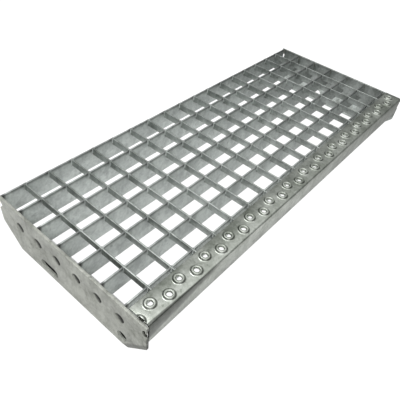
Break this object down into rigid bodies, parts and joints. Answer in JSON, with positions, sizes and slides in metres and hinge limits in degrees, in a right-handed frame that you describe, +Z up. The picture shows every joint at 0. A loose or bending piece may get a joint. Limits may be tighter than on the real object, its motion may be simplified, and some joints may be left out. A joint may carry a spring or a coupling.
{
  "type": "grating stair tread",
  "caption": "Galvanised steel grating stair tread with a punched anti-slip nosing and bolt-on end plates.",
  "frame": {"origin": "middle of the footprint, level with the end plates' lower edges", "axes": "+X along the tread, -Y towards its front with the nosing, +Z up"},
  "size_m": [0.6, 0.24, 0.0745],
  "materials": {
    "galvanised_steel": "hot-dip galvanised, dull and mottled"
  },
  "bodies": {
    "root": {"left_end_plate": "galvanised_steel", "right_end_plate": "galvanised_steel", "bearing_bar_1": "galvanised_steel", "bearing_bar_2": "galvanised_steel", "bearing_bar_3": "galvanised_steel", "bearing_bar_4": "galvanised_steel", "bearing_bar_5": "galvanised_steel", "bearing_bar_6": "galvanised_steel", "bearing_bar_7": "galvanised_steel", "cross_bar_01": "galvanised_steel", "cross_bar_02": "galvanised_steel", "cross_bar_03": "galvanised_steel", "cross_bar_04": "galvanised_steel", "cross_bar_05": "galvanised_steel", "cross_bar_06": "galvanised_steel", "cross_bar_07": "galvanised_steel", "cross_bar_08": "galvanised_steel", "cross_bar_09": "galvanised_steel", "cross_bar_10": "galvanised_steel", "cross_bar_11": "galvanised_steel", "cross_bar_12": "galvanised_steel", "cross_bar_13": "galvanised_steel", "cross_bar_14": "galvanised_steel", "cross_bar_15": "galvanised_steel", "cross_bar_16": "galvanised_steel", "cross_bar_17": "galvanised_steel", "nosing": "galvanised_steel"}
  },
  "joints": []
}
